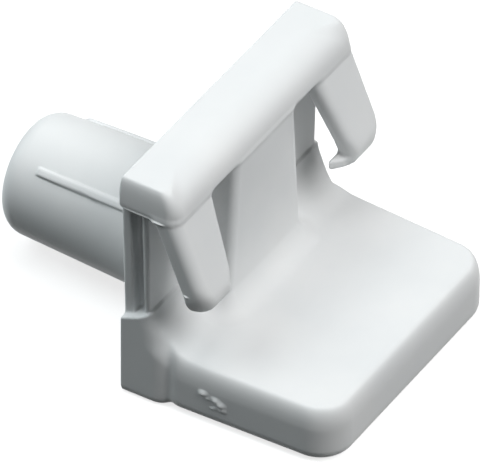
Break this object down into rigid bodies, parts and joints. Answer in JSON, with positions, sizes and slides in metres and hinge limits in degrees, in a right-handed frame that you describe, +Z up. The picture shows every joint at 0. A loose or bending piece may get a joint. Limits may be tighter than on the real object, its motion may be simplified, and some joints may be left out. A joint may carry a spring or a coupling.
{
  "type": "push-in shelf support",
  "caption": "One-piece moulded shelf support: a peg pushes into the liner, and a platform under sprung legs holds the shelf's edge.",
  "frame": {"origin": "centre of the peg's root, on the plane of the back face that bears on the liner", "axes": "+Y along the peg into the liner, -Y out over the platform towards the shelf, +Z up, +X along the liner to the right of a viewer who faces it"},
  "size_m": [0.02, 0.0278, 0.0171],
  "materials": {
    "white_plastic": "as moulded, semi-gloss white"
  },
  "bodies": {
    "root": {"shelf_support": "white_plastic"}
  },
  "joints": []
}
